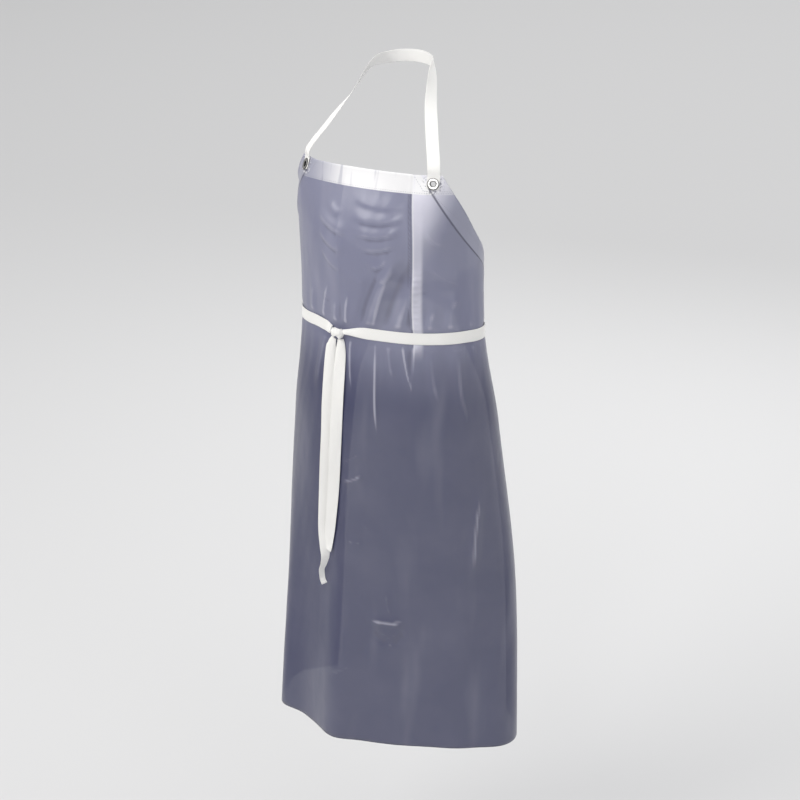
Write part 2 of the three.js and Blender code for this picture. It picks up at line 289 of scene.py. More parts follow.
# Slopes of a monotone cubic: the harmonic mean of the slopes on each side, and 0 where the measure turns.
def slopesOf(key):
    drops, values = np.array(form["drop"]), np.array(form[key])
    widths = np.diff(drops)
    rises = np.diff(values) / widths
    before, after = np.insert(rises, 0, rises[0]), np.append(rises, rises[-1])
    wide, thin = np.insert(widths, 0, widths[0]), np.append(widths, widths[-1])
    turning = before * after <= 0
    safeBefore, safeAfter = np.where(turning, 1, before), np.where(turning, 1, after)
    mean = 3 * (wide + thin) / ((2 * thin + wide) / safeBefore + (thin + 2 * wide) / safeAfter)
    return np.where(turning, 0, mean)


slopes = {key: slopesOf(key) for key in ("halfWidth", "halfDepth", "forward")}


# A cubic between two values with a slope at each, t of the way across a gap.
def cubic(t, gap, first, last, slopeFirst, slopeLast):
    return (
        (1 + 2 * t) * (1 - t) ** 2 * first
        + t * (1 - t) ** 2 * gap * slopeFirst
        + t * t * (3 - 2 * t) * last
        + t * t * (t - 1) * gap * slopeLast
    )


def measure(key, drop):
    drops, values = np.array(form["drop"]), np.array(form[key])
    at = np.clip(drop, drops[0], drops[-1])
    i = np.clip(np.searchsorted(drops, at, side="right") - 1, 0, len(drops) - 2)
    width = drops[i + 1] - drops[i]
    t = (at - drops[i]) / width
    return cubic(t, width, values[i], values[i + 1], slopes[key][i], slopes[key][i + 1])


# An ellipse at each drop: half width times the angle's sine, half depth times its cosine towards the front.
def onForm(angle, drop):
    turn = np.radians(angle)
    x = measure("halfWidth", drop) * np.sin(turn)
    y = -form["napeSetback"] - measure("forward", drop) - measure("halfDepth", drop) * np.cos(turn)
    return np.stack([x, y, np.broadcast_to(bibTop - drop, x.shape)], -1)


def unit(vectors):
    return vectors / np.linalg.norm(vectors, axis=-1, keepdims=True)


def outward(angle, drop):
    down = onForm(angle, drop + mm) - onForm(angle, drop - mm)
    around = onForm(angle + 0.5, drop) - onForm(angle - 0.5, drop)
    return unit(np.cross(down, around))


def degreesPer(angle, drop):
    turn = np.radians(angle)
    across = measure("halfWidth", drop) * np.cos(turn)
    deep = measure("halfDepth", drop) * np.sin(turn)
    return np.degrees(1 / np.hypot(across, deep))


# The angle that a distance along the sheet reaches, in short even steps from the front.
def angleAt(distance, drop):
    steps = 60
    angle = np.zeros(np.broadcast(distance, drop).shape)
    for step in range(steps):
        angle = angle + degreesPer(angle, drop) * distance / steps
    return angle


# The distance along the sheet to an angle.
def distanceAt(angle, drop):
    steps = 60
    distance = np.zeros(np.broadcast(angle, drop).shape)
    for step in range(steps):
        distance = distance + (angle / steps) / degreesPer(angle * (step + 0.5) / steps, drop)
    return distance


def smooth(t):
    t = np.clip(t, 0, 1)
    return t * t * (3 - 2 * t)


def halfSheet(drop):
    share = np.clip(drop / cut["armholeDrop"], 0, 1)
    armhole = share * (1 - cut["armholeHollow"] * (1 - share**3))
    skirt = smooth((drop - cut["armholeDrop"]) / (apronLength - cut["armholeDrop"]))
    width = cut["bibWidth"] + (cut["sideWidth"] - cut["bibWidth"]) * armhole
    return width / 2 + (cut["hemWidth"] - cut["sideWidth"]) / 2 * skirt


# folds of the sheet

# Each ridge runs from one place on the cut sheet to another, all in millimetres: across and down at each end,
# then its half width and height. A lapped one is steep on its lower side.
ridges = {
    "lapped": (
        # buckles across the chest
        (-10, 54, 90, 58, 12, 1.9), (-8, 84, 88, 80, 11, 3.5), (0, 112, 86, 103, 11, 3.5),
        (8, 139, 84, 124, 11, 3.3), (26, 176, 66, 149, 10, 2.7), (42, 202, 76, 170, 8, 1.7),
        (-86, 88, -14, 118, 11, 3.2), (-82, 120, -26, 152, 11, 3.3), (-78, 152, -32, 192, 11, 2.8),
        (128, 88, 172, 132, 14, 3.0), (134, 160, 200, 208, 15, 2.6),
    ),
    "soft": (
        # buckles across the chest
        (-62, 66, -34, 84, 8, 1.6), (-20, 196, 20, 204, 10, 1.2), (146, 222, 196, 244, 12, 1.6),
        # gathers that the ties draw in, above them and below
        (84, 136, 14, 312, 15, 7.2), (112, 150, 40, 312, 12, -5.0), (128, 170, 66, 312, 10, 4.6),
        (52, 176, -8, 308, 11, -4.2), (-54, 250, -58, 316, 8, 2.2), (-112, 230, -126, 314, 9, 2.4),
        (142, 250, 128, 315, 9, 2.8), (184, 226, 168, 312, 10, 3.0), (52, 316, 66, 402, 8, 2.2),
        (-80, 318, -108, 452, 10, 3.2), (128, 316, 154, 446, 10, 3.2), (176, 314, 214, 490, 11, 3.8),
        # small marks in the skirt
        (-46, 620, 6, 592, 8, 2.8), (-46, 578, 4, 545, 8, 1.5), (-2, 558, 54, 532, 8, 0.9),
        (236, 616, 222, 800, 9, 4.6), (8, 910, 84, 903, 8, 4.4), (14, 928, 52, 958, 9, -3.6),
        (52, 958, 80, 924, 9, -3.2), (-38, 746, -2, 740, 8, 1.4), (-2, 700, 32, 712, 8, 1.0),
        (46, 838, 56, 902, 8, 1.4), (-70, 1040, -20, 1010, 9, 1.2), (120, 1060, 190, 1036, 9, 1.2),
    ),
    "sharp": (
        # gathers that the ties draw in, above them and below
        (-70, 222, -94, 313, 6, 4.4), (-24, 236, -36, 318, 6, 4.6), (76, 156, 20, 306, 5, 2.6),
        (26, 314, 38, 510, 6, 4.6), (78, 314, 100, 414, 6, 4.2), (-26, 318, -20, 430, 6, 3.4),
    ),
}
pressed = {
    # vertical creases left by packing: the main one's line bows a little and dies out below the tie
    "line": 0.099,
    "bow": 0.010,
    "bowTop": 0.13,
    "bowEnd": 0.29,
    "tall": 4.2 * mm,
    "inner": 3.0 * mm,
    "strip": 19 * mm,
    "middleLine": (-33, -42),
    "middleTall": 0.7 * mm,
    "crinkleSpacing": 12.5 * mm,
    "crinkleTall": 0.9 * mm,
}
drape = {
    "groove": 1.6 * mm,
    "grooveReach": 0.018,
    "gatherHeight": 2.2 * mm,
    "gatherReach": 0.060,
    "fluteHeight": 3.0 * mm,
    "dents": 46,
    "curlReach": 0.058,
    "curlDepth": {"right": 0.017, "left": 0.004},
    "tieLine": ((-180, 320), (-110, 317), (-75, 319), (-50, 316), (-36, 312), (-22, 317), (-17.5, 319),
                (-12, 315), (6, 311), (45, 311), (68, 311), (110, 319), (180, 320)),
    # the hem stands in flats between soft corners: (angle, reach in degrees, outwards in millimetres)
    "hem": ((-13, 9, 17), (34, 30, -30), (62, 16, -13), (-38, 11, -8), (-54, 9, 14),
            (-78, 15, -11), (98, 15, 6), (-120, 24, -8), (135, 22, 7)),
}


# A ridge's side is 0 on its line and 1 at its half width; its height swells and dies away at both ends.
def ridgeHeight(across, down, start, end, reach, height, look):
    ax, ay = start[0] * mm, start[1] * mm
    bx, by = end[0] * mm, end[1] * mm
    length = math.hypot(bx - ax, by - ay)
    ex, ey = (bx - ax) / length, (by - ay) / length
    along = ((across - ax) * ex + (down - ay) * ey) / length
    side = ((across - ax) * -ey + (down - ay) * ex) / (reach * mm)
    side = side - 0.5 * np.sin(along * math.pi)
    if look == "lapped":
        side = np.where(side > 0, side * 1.9, side * 0.75)
    profile = np.exp(-np.sqrt(side * side + 0.05)) if look == "sharp" else np.exp(-side * side)
    return height * mm * profile * smooth((along + 0.08) / 0.4) * smooth((1.08 - along) / 0.4)


# The pressed crease down the wearer's left of the bib bows a little to the left at the chest.
def creaseLine(down):
    bowTop, bowEnd = pressed["bowTop"], pressed["bowEnd"]
    bow = smooth(down / bowTop) * (1 - smooth((down - bowTop) / (bowEnd - bowTop)))
    return pressed["line"] + pressed["bow"] * bow


def pressedHeight(across, down):
    aside = across - creaseLine(down)
    ridge = np.where(aside < 0, np.exp(aside / pressed["inner"]), np.exp(-aside / pressed["strip"]))
    fade = 1 - smooth((down - 0.30) / 0.16)
    height = pressed["tall"] * ridge * fade
    first, last = pressed["middleLine"]
    line = (first + (last - first) * down / waistDrop) * mm
    height = height + pressed["middleTall"] * np.exp(-np.abs(across - line) / (5 * mm)) * fade
    place = smooth((down - 0.165) / 0.03) * smooth((0.312 - down) / 0.02)
    inside = np.exp(-(((aside - 9 * mm) / (6 * mm)) ** 2))
    wave = np.sin(down * 2 * math.pi / pressed["crinkleSpacing"] + 0.8 * np.sin(down * 130))
    return height + pressed["crinkleTall"] * wave * inside * place


# Small leaf-shaped dents of handling, scattered over the sheet.
def dentHeight(across, down):
    random = np.random.default_rng(7)
    height = np.zeros(across.shape)
    for _ in range(drape["dents"]):
        x, y = random.uniform(-330, 330), random.uniform(60, 1120)
        length, lean = random.uniform(14, 44), random.uniform(-0.6, 0.6)
        if y > 330 or random.uniform() < 0.4:
            lean += math.pi / 2
        end = (x + length * math.cos(lean), y + length * math.sin(lean))
        height = height + ridgeHeight(across, down, (x, y), end, 6, random.uniform(-0.9, 0.8), "soft")
    return height


def tieDrop(angle):
    places, drops = zip(*drape["tieLine"])
    spread = [np.interp(angle + shift, places, drops) for shift in (-4, -2, 0, 2, 4)]
    return sum(spread) / len(spread) * mm


def waves(angle, seed, lowest, highest, count):
    random = np.random.default_rng(seed)
    total = np.zeros(angle.shape)
    for turns, phase, share in zip(
        random.uniform(lowest, highest, count), random.uniform(0, 6.28, count), random.uniform(0.5, 1, count)
    ):
        total = total + share * np.sin(np.radians(angle) * turns + phase)
    return total / count


# How far the free edge of the bib curls in, most on the wearer's right.
def curlHeight(across, down):
    back = halfSheet(down) - np.abs(across)
    depth = np.where(across < 0, drape["curlDepth"]["right"], drape["curlDepth"]["left"])
    return -depth * smooth(1 - back / drape["curlReach"]) * (1 - smooth((down - 0.075) / 0.07))


# How far the sheet stands off the form, outwards, at a place on the cut.
def foldHeight(across, down, angle):
    height = np.zeros(across.shape)
    for look, rows in ridges.items():
        for row in rows:
            height = height + ridgeHeight(across, down, row[:2], row[2:4], *row[4:], look)
    height = height + pressedHeight(across, down) + dentHeight(across, down)
    fromTie = down - tieDrop(angle)
    gather = waves(angle, 5, 16, 38, 8) * (1 + 0.6 * np.abs(np.sin(np.radians(angle))))
    height = height + drape["gatherHeight"] * gather * np.exp(-np.abs(fromTie) / drape["gatherReach"])
    flute = waves(angle, 11, 5, 12, 6) * smooth((down - 0.40) / 0.70)
    height = height + drape["fluteHeight"] * flute
    ripple = waves(angle + 60 * down, 23, 20, 60, 9) * 0.4 * mm
    height = height + ripple * smooth(down / 0.05)
    # folds die out beside the eyelets, which hold the layers flat
    for spot in spots.values():
        near = np.exp(-((across - spot["across"]) ** 2 + (down - spot["drop"]) ** 2) / 0.022**2)
        height = height * (1 - near)
    height = height + curlHeight(across, down)
    for place, reach, out in drape["hem"]:
        height = height + out * mm * np.exp(-(((angle - place) / reach) ** 2)) * smooth((down - 0.58) / 0.58)
    # the tie presses the sheet flat under itself
    under = np.exp(-((fromTie / drape["grooveReach"]) ** 4))
    return height * (1 - under) - drape["groove"] * under


# A place on the hung sheet: the form's own point, moved outwards by the fold and the layer's lift.
def onSheet(across, down, lift):
    angle = angleAt(across, down)
    height = foldHeight(across, down, angle) + lift
    return onForm(angle, down) + outward(angle, down) * height[..., None]


# The middle of a CAD eyelet as a place on the cut; then where that place hangs and the way it faces.
def spotOf(node):
    low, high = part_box(node)
    middle = np.array((low + high) / 2)
    drop = bibTop - middle[2]
    forward = -(middle[1] + form["napeSetback"] + measure("forward", drop))
    sideways, forward = middle[0] / measure("halfWidth", drop), forward / measure("halfDepth", drop)
    angle = np.degrees(np.arctan2(sideways, forward))
    drop = np.array(drop)
    return {"angle": angle, "drop": drop, "across": distanceAt(angle, drop)}


def hang(spot):
    step = 2 * mm
    across = spot["across"] + np.array([0, step, -step, 0, 0])
    down = spot["drop"] + np.array([0, 0, 0, step, -step])
    points = onSheet(across, down, np.zeros(5))
    spot["middle"] = points[0]
    spot["face"] = unit(np.cross(points[3] - points[4], points[1] - points[2]))


spots = {
    place + side: spotOf(f"{place}_eyelet_{side.lower()}")
    for place in ("bib", "side")
    for side in ("Left", "Right")
}
for eyeletSpot in spots.values():
    hang(eyeletSpot)
print("form and folds ready")


# mesh making

# A mesh of quads and triangles, with its map of the cut and its point attributes.
def meshObject(name, points, quads, triangles, uv, attributes=None):
    loops = np.concatenate([np.ravel(quads), np.ravel(triangles)]).astype(np.int32)
    sizes = np.concatenate([np.full(len(quads), 4), np.full(len(triangles), 3)])
    data = bpy.data.meshes.new(name)
    data.vertices.add(len(points))
    data.vertices.foreach_set("co", points.astype(np.float32).ravel())
    data.loops.add(len(loops))
    data.loops.foreach_set("vertex_index", loops)
    data.polygons.add(len(sizes))
    data.polygons.foreach_set("loop_start", (np.cumsum(sizes) - sizes).astype(np.int32))
    data.polygons.foreach_set("use_smooth", np.ones(len(sizes), bool))
    data.update(calc_edges=True)
    data.uv_layers.new(name="cut").data.foreach_set("uv", uv.astype(np.float32)[loops].ravel())
    for key, values in (attributes or {}).items():
        data.attributes.new(key, "FLOAT", "POINT").data.foreach_set("value", values.astype(np.float32))
    piece = bpy.data.objects.new(name, data)
    world.collection.objects.link(piece)
    return piece


# The same for a closed shape: its faces are turned out if its volume is negative.
def closedObject(name, points, quads, triangles, uv):
    corners = points[np.concatenate([quads[:, :3], quads[:, [0, 2, 3]], triangles])]
    volume = np.einsum("ij,ij->", corners[:, 0], np.cross(corners[:, 1], corners[:, 2]))
    if volume < 0:
        quads, triangles = quads[:, ::-1], triangles[:, ::-1]
    return meshObject(name, points, quads, triangles, uv)


# Quads of a grid whose vertices are numbered row by row from a first one. With wrap its last column joins
# its first, and with closed its last row.
def gridFaces(rows, columns, first=0, flip=False, wrap=False, closed=False):
    ids = first + np.arange(rows * columns).reshape(rows, columns)
    ids = np.pad(ids, ((0, int(closed)), (0, int(wrap))), mode="wrap")
    quads = np.stack([ids[:-1, :-1], ids[1:, :-1], ids[1:, 1:], ids[:-1, 1:]], -1).reshape(-1, 4)
    return quads[:, ::-1] if flip else quads


# A thin closed solid between two grids of the same size: both faces and a strip round the rim.
def thinSolid(name, outer, inner, uv, attributes=None):
    rows, columns = outer.shape[:2]
    count = rows * columns
    ids = np.arange(count).reshape(rows, columns)
    rim = np.concatenate([ids[0, :-1], ids[:-1, -1], ids[-1, :0:-1], ids[:0:-1, 0]])
    nextRim = np.roll(rim, -1)
    strip = np.stack([rim, nextRim, nextRim + count, rim + count], -1)
    faces = np.concatenate([
        gridFaces(rows, columns),
        gridFaces(rows, columns, count, flip=True),
        strip,
    ])
    points = np.concatenate([outer.reshape(-1, 3), inner.reshape(-1, 3)])
    flat = np.concatenate([uv.reshape(-1, 2)] * 2)
    doubled = {key: np.concatenate([value.ravel()] * 2) for key, value in (attributes or {}).items()}
    return meshObject(name, points, faces, (), flat, doubled)


# A layer of the sheet over a grid of (across, down) places, between two lifts.
def sheetLayer(name, across, down, lift, thickness, attributes=None):
    outer = onSheet(across, down, lift + thickness / 2)
    inner = onSheet(across, down, lift - thickness / 2)
    return thinSolid(name, outer, inner, np.stack([across, down], -1), attributes)


# A tape carried along a path: a flat oval section, rounded at both selvedges, turned to face the way given.
def tapeMesh(name, path, facing, width, thickness, around=28, cup=0.0):
    count = len(path)
    tangent = unit(np.gradient(path, axis=0))
    face = unit(facing - tangent * (facing * tangent).sum(-1, keepdims=True))
    across = np.cross(tangent, face)
    turn = np.linspace(0, 2 * math.pi, around, endpoint=False)
    side = np.sign(np.cos(turn)) * np.abs(np.cos(turn)) ** 0.55 / 2
    rise = np.sign(np.sin(turn)) * np.abs(np.sin(turn)) ** 0.6 / 2
    width = np.broadcast_to(width, (count,))[:, None]
    thickness = np.broadcast_to(thickness, (count,))[:, None]
    bow = np.broadcast_to(cup, (count,))[:, None] * (side[None, :] * 2) ** 2
    points = (
        path[:, None, :]
        + across[:, None, :] * (side[None, :] * width)[..., None]
        + face[:, None, :] * (rise[None, :] * thickness + bow)[..., None]
    )
    run = np.concatenate([[0], np.cumsum(np.linalg.norm(np.diff(path, axis=0), axis=-1))])
    uv = np.stack([side[None, :] * width, np.broadcast_to(run[:, None], (count, around))], -1)
    # each end is closed by a ring drawn in to its middle
    middles = np.stack([points[0].mean(0), points[-1].mean(0)])
    points = np.concatenate([points.reshape(-1, 3), middles])
    uv = np.concatenate([uv.reshape(-1, 2), [[0, 0], [0, run[-1]]]])
    body = gridFaces(count, around, wrap=True)
    ring = np.arange(around)
    start, end = count * around, count * around + 1
    last = (count - 1) * around
    startCap = np.stack([np.full(around, start), ring, np.roll(ring, -1)], -1)
    endCap = np.stack([np.full(around, end), last + np.roll(ring, -1), last + ring], -1)
    return closedObject(name, points, body, np.concatenate([startCap, endCap]), uv)


# A smooth line through chosen points: cubic pieces whose slopes come from the neighbours, evenly stepped.
def smoothLine(points, count):
    points = np.asarray(points, float)
    gaps = np.sqrt(np.linalg.norm(np.diff(points, axis=0), axis=-1))
    knots = np.concatenate([[0], np.cumsum(gaps)])
    slope = np.gradient(points, knots, axis=0)
    fine = np.linspace(0, knots[-1], 40 * len(points))
    i = np.clip(np.searchsorted(knots, fine, side="right") - 1, 0, len(points) - 2)
    width = (knots[i + 1] - knots[i])[:, None]
    t = (fine - knots[i])[:, None] / width
    line = cubic(t, width, points[i], points[i + 1], slope[i], slope[i + 1])
    run = np.concatenate([[0], np.cumsum(np.linalg.norm(np.diff(line[:, :3], axis=0), axis=-1))])
    even = np.linspace(0, run[-1], count)
    return np.stack([np.interp(even, run, line[:, k]) for k in range(line.shape[1])], -1)


def joined(pieces, name):
    for piece in pieces:
        piece.select_set(True)
    with bpy.context.temp_override(active_object=pieces[0], selected_editable_objects=pieces):
        bpy.ops.object.join()
    pieces[0].name = name
    pieces[0].data.name = name
    pieces[0].select_set(False)
    return pieces[0]


eyelet = {
    "hole": 4.7 * mm,
    "barrel": 5.5 * mm,
    "flange": 11 * mm,
    "flangeThickness": 0.9 * mm,
    "tapeTop": 2.4 * mm,
    "steps": 72,
}

# A turned shape: a closed profile of radius and height, carried round the way that a place on the form faces.
def turned(name, profile, spot):
    steps = eyelet["steps"]
    turn = np.linspace(0, 2 * math.pi, steps, endpoint=False)
    face = spot["face"]
    first = unit(np.cross(face, [0, 0, 1.0]))
    second = np.cross(face, first)
    profile = np.asarray(profile)
    ring = np.cos(turn)[:, None, None] * first + np.sin(turn)[:, None, None] * second
    points = spot["middle"] + ring * profile[None, :, :1] + face * profile[None, :, 1:]
    quads = gridFaces(steps, len(profile), wrap=True, closed=True)
    # the map carries each place's distance from the middle
    uv = np.stack([np.tile(profile[:, 0], steps), np.tile(profile[:, 1], steps)], -1)
    return closedObject(name, points.reshape(-1, 3), quads, np.zeros((0, 3), int), uv)


# Cuts the holes for the eyelets' barrels through a piece.
def punch(piece, *names):
    radius = eyelet["barrel"] + 0.3 * mm
    for name in names:
        tall, axis = 15 * mm, 0.1 * mm
        drill = turned("drill", [(axis, -tall), (radius, -tall), (radius, tall), (axis, tall)], spots[name])
        modifier = piece.modifiers.new("hole", "BOOLEAN")
        modifier.operation = "DIFFERENCE"
        modifier.object = drill
        modifier.solver = "MANIFOLD"
        evaluated = piece.evaluated_get(bpy.context.evaluated_depsgraph_get())
        old = piece.data
        piece.data = bpy.data.meshes.new_from_object(evaluated)
        piece.modifiers.clear()
        bpy.data.meshes.remove(old)
        bpy.data.objects.remove(drill)
    return piece


# Finishing a piece: its material, what it rides on and which CAD nodes it stands for; its slot argument is
# not used.
def finishPiece(piece, finish, body, slot, *nodes):
    piece.data.materials.clear()
    piece.data.materials.append(finish.material)
    if body:
        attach(piece, body)
    if nodes:
        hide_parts(*nodes)
    return piece


# finishes

vinylLook = {
    # the bib's tone is painted lighter, as lit, and the skirt's darker, as shaded; the film itself is one
    # colour
    "bibTone": (0.258, 0.266, 0.386),
    "skirtTone": (0.064, 0.069, 0.146),
    "warmTone": (0.250, 0.244, 0.330),
    "paleTone": (0.94, 0.935, 0.95),
    "stripTone": (0.80, 0.79, 0.90),
    # a dark tone used only for painted shade and painted shadow lines
    "shadeTone": (0.075, 0.075, 0.13),
    "filmAlpha": 0.79,
    "doubleAlpha": 0.94,
}


def makeVinyl(name, isDouble):
    finish = Finish(name, Coat_Roughness=0.24, Coat_IOR=1.5, IOR=1.52, Specular_IOR_Level=0.5)
    look = vinylLook
    place, across, down = finish.cutPlace()
    cloud = finish.noise(place, 6.0, 3.0)
    streak = finish.noise(finish.stretched(place, (15, 3, 1)), 1.0, 2.0)
    upright = finish.noise(finish.stretched(place, (55, 6, 1)), 1.0, 2.0)
    # how far in from the armhole's hollowed edge
    depth = (down / cut["armholeDrop"]).least(1.0)
    hollow = 1 - (1 - depth * depth * depth) * cut["armholeHollow"]
    half = depth * hollow * ((cut["sideWidth"] - cut["bibWidth"]) / 2) + cut["bibWidth"] / 2
    inset = half - across.size()
    edge = 0.0006
    band = 1 - down.ramp(cut["bandDepth"] - edge, cut["bandDepth"] + edge)
    belowBand = 1 - band
    aboveFoot = 1 - down.ramp(cut["armholeDrop"] - edge, cut["armholeDrop"] + edge)
    armhole = (1 - inset.ramp(cut["armholeBand"] - edge, cut["armholeBand"] + edge)) * aboveFoot
    seamGroove = (1 - (inset - cut["armholeBand"]).size().ramp(0.0008, 0.0034)) * aboveFoot
    # the pressed crease: a painted shadow line, a painted highlight line, and the pale strip beside them,
    # which is partly paler pressed film and partly painted light
    bowTop, bowEnd = pressed["bowTop"], pressed["bowEnd"]
    line = down.ramp(0.0, bowTop) * (1 - down.ramp(bowTop, bowEnd)) * pressed["bow"] + pressed["line"]
    aside = across - line
    creaseEnd = 1 - down.ramp(0.30, 0.36)
    strip = aside.ramp(0.0, 0.0015) * (1 - aside.ramp(0.014, 0.022)) * creaseEnd
    creaseHighlight = (1 - (aside - 0.0022).size().ramp(0.0005, 0.0016)) * creaseEnd
    creaseShadow = (1 - (aside + 0.0014).size().ramp(0.0006, 0.0026)) * creaseEnd
    # a painted highlight on a wedge of film beside the pressed crease, near the bib's top
    wedgeHighlight = (1 - (across + down * 0.30).ramp(0.132, 0.205)) * (1 - down.ramp(0.07, 0.20))
    wedgeHighlight = wedgeHighlight * aside.ramp(0.0, 0.003)

    # painted light and shade: the film is one colour, but the bib is painted lighter where it faces the light
    # and the skirt is painted darker
    towardSkirt = (down + (cloud - 0.5) * 0.10).ramp(0.27, 0.46)
    tone = finish.mix(towardSkirt, look["bibTone"], look["skirtTone"])
    crestWhiteningAndHighlight = finish.attribute("crease").ramp(0.16, 1.0)
    valleyShade = finish.attribute("valley").ramp(0.12, 1.0)
    # the doubled top band is paler film, painted nearly white as glare, with painted shade dulling it towards
    # the wearer's right; it is duller in upright streaks too
    dullStreaks = upright.ramp(0.56, 0.68) * 0.34
    shadeToRight = (0 - across).ramp(0.02, 0.12) * 0.78
    paleness = band * ((1.0 - dullStreaks - shadeToRight).most(0.1)) * (1 - armhole * 0.62)
    if isDouble:
        paleness = paleness.most(0.40)
    # the film puckers round the bib's eyelets: paler specks where it whitens, and darker specks painted as
    # shade in the puckers
    beside = across.size() - float(spots["bibLeft"]["across"])
    below = down - float(spots["bibLeft"]["drop"])
    pucker = 1 - (beside * beside + below * below).root().ramp(0.011, 0.024)
    wrinkle = finish.noise(place, 230.0, 2.0, 0.6)
    # each is mixed over the ones before it
    for share, over in [
        ((cloud - 0.42) * 0.45, "warmTone"),
        # pale upright streaks painted in as a soft sheen, less of it on the skirt
        (streak.ramp(0.5, 0.8) * (1 - towardSkirt * 0.5) * 0.16, "stripTone"),
        # crests paled: partly the film's own stress whitening, partly painted highlight
        (crestWhiteningAndHighlight * (down.ramp(0.17, 0.25) * 0.28 + 0.14), "stripTone"),
        # painted shade in the folds' valleys
        (valleyShade * 0.62, "shadeTone"),
        # painted highlight on the wedge beside the crease
        (wedgeHighlight * 0.95, "stripTone"),
        # the pale strip beside the crease: partly paler pressed film, partly painted light
        (strip * (down.ramp(0.10, 0.22) * 0.32 + 0.52), "stripTone"),
        # painted highlight and painted shadow along the pressed crease
        (creaseHighlight * 0.55, "paleTone"),
        (creaseShadow * 0.45 * belowBand, "shadeTone"),
        (armhole * 0.13, "paleTone"),
        (paleness, "paleTone"),
        # painted shadow along the groove at the armhole facing's inner edge
        (seamGroove * down.ramp(0.016, 0.024) * 0.8, "shadeTone"),
        (pucker * wrinkle.ramp(0.50, 0.60) * 0.9, "paleTone"),
        (pucker * (1 - wrinkle.ramp(0.38, 0.48)) * 0.8, "shadeTone"),
    ]:
        tone = finish.mix(share, tone, look[over])
    doubled = band.most(armhole)
    alpha = look["filmAlpha"] + doubled * (look["doubleAlpha"] - look["filmAlpha"])
    crinkle = finish.noise(finish.stretched(place, (1, 0.7, 1)), 42.0, 5.0, 0.55)
    grain = finish.noise(finish.objectPlace(), 1400.0, 2.0)
    stripCrinkle = (down * (2 * math.pi / pressed["crinkleSpacing"])).sine()
    stripCrinkle = stripCrinkle * strip * down.ramp(0.16, 0.19) * 0.5
    height = crinkle * 0.9 + grain * 0.05 + stripCrinkle + pucker * wrinkle * 1.2 - seamGroove * 0.5
    finish.feed(
        Base_Color=tone,
        Alpha=alpha,
        Roughness=0.30 + cloud * 0.10 + crestWhiteningAndHighlight * 0.12,
        Coat_Weight=0.30 + streak * 0.30,
    )
    finish.bump(height, 0.40, 0.0016)
    return finish


cottonLook = {
    # the weave's spacings
    "warp": 0.0009,
    "weft": 0.0011,
    "twill": 0.0052,
    "pale": (0.99, 0.985, 0.965),
    "shade": (0.76, 0.735, 0.69),
    "worn": (0.93, 0.905, 0.85),
    "selvedge": (0.82, 0.80, 0.75),
}


def makeCotton():
    look = cottonLook
    finish = Finish(
        "cottonTape", Roughness=0.88, Sheen_Weight=0.25, Sheen_Roughness=0.5, Specular_IOR_Level=0.25
    )
    place, across, along = finish.cutPlace()
    full = 2 * math.pi
    # a herringbone: the weft steps along as it crosses, one way on each half of the tape
    side = across.size()
    warp = (side * (full / look["warp"])).sine() * 0.5 + 0.5
    weft = (along * (full / look["weft"]) + side * (full / look["twill"] * 4)).sine() * 0.5 + 0.5
    rib = (along * (full / look["twill"]) + side * (full / look["twill"])).sine() * 0.5 + 0.5
    weave = warp * 0.35 + weft * 0.4 + rib * 0.5
    fuzz = finish.noise(finish.objectPlace(), 900.0, 4.0, 0.7)
    patch = finish.noise(finish.objectPlace(), 22.0, 3.0)
    tone = finish.mix((1.25 - weave) * 0.12 + fuzz * 0.08, look["pale"], look["shade"])
    tone = finish.mix(patch.ramp(0.45, 0.8) * 0.14, tone, look["worn"])
    tone = finish.mix(side.ramp(0.0098, 0.0106) * 0.12, tone, look["selvedge"])
    finish.feed(Base_Color=tone)
    finish.bump(weave + fuzz * 0.6, 0.45, 0.0005)
    return finish


def makeNickel():
    finish = Finish("nickelPlate", Metallic=1.0)
    place = finish.objectPlace()
    tarnish = finish.noise(place, 90.0, 4.0)
    scratch = finish.noise(finish.stretched(place, (900, 90, 240)), 1.0, 2.0)
    tone = finish.mix(tarnish.ramp(0.45, 0.8) * 0.5, (0.84, 0.83, 0.81), (0.52, 0.50, 0.47))
    _, reach, _ = finish.cutPlace()
    # painted shade inside the barrel's hole
    inside = 1 - reach.ramp(eyelet["hole"] + 0.0003, eyelet["hole"] + 0.0016)
    tone = finish.mix(inside * 0.93, tone, (0.03, 0.03, 0.03))
    rimShade = reach.ramp(eyelet["flange"] - 0.0024, eyelet["flange"] - 0.0006)
    tone = finish.mix(rimShade * 0.9, tone, (0.06, 0.06, 0.06))
    finish.feed(Base_Color=tone, Roughness=0.20 + tarnish * 0.18 + scratch * 0.10)
    finish.bump(scratch, 0.12, 0.0002)
    return finish


def makeThread():
    finish = Finish("sewingThread", Roughness=0.6, Sheen_Weight=0.2)
    place = finish.objectPlace()
    twist = finish.noise(finish.stretched(place, (1800, 1800, 900)), 1.0, 2.0)
    finish.feed(Base_Color=finish.mix(twist, (0.20, 0.20, 0.27), (0.42, 0.42, 0.50)))
    finish.bump(twist, 0.4, 0.0002)
    return finish


vinyl = makeVinyl("vinylFilm", False)
facing = makeVinyl("vinylFacing", True)
cotton = makeCotton()
nickel = makeNickel()
thread = makeThread()
print("finishes made")


# the sheet and its facings

panel = {
    "rows": 238,
    "columns": 195,
    # how much closer the rows stand at the top, and the columns in the middle
    "evenShare": 0.45,
    "layerPitch": 0.9 * mm,
    "inset": 0.4 * mm,
    "patchSide": 55 * mm,
    # the bend of a fold: how far apart its heights are taken, and their difference in a full crease
    "bendStep": 5 * mm,
    "fullBend": 3.4 * mm,
}


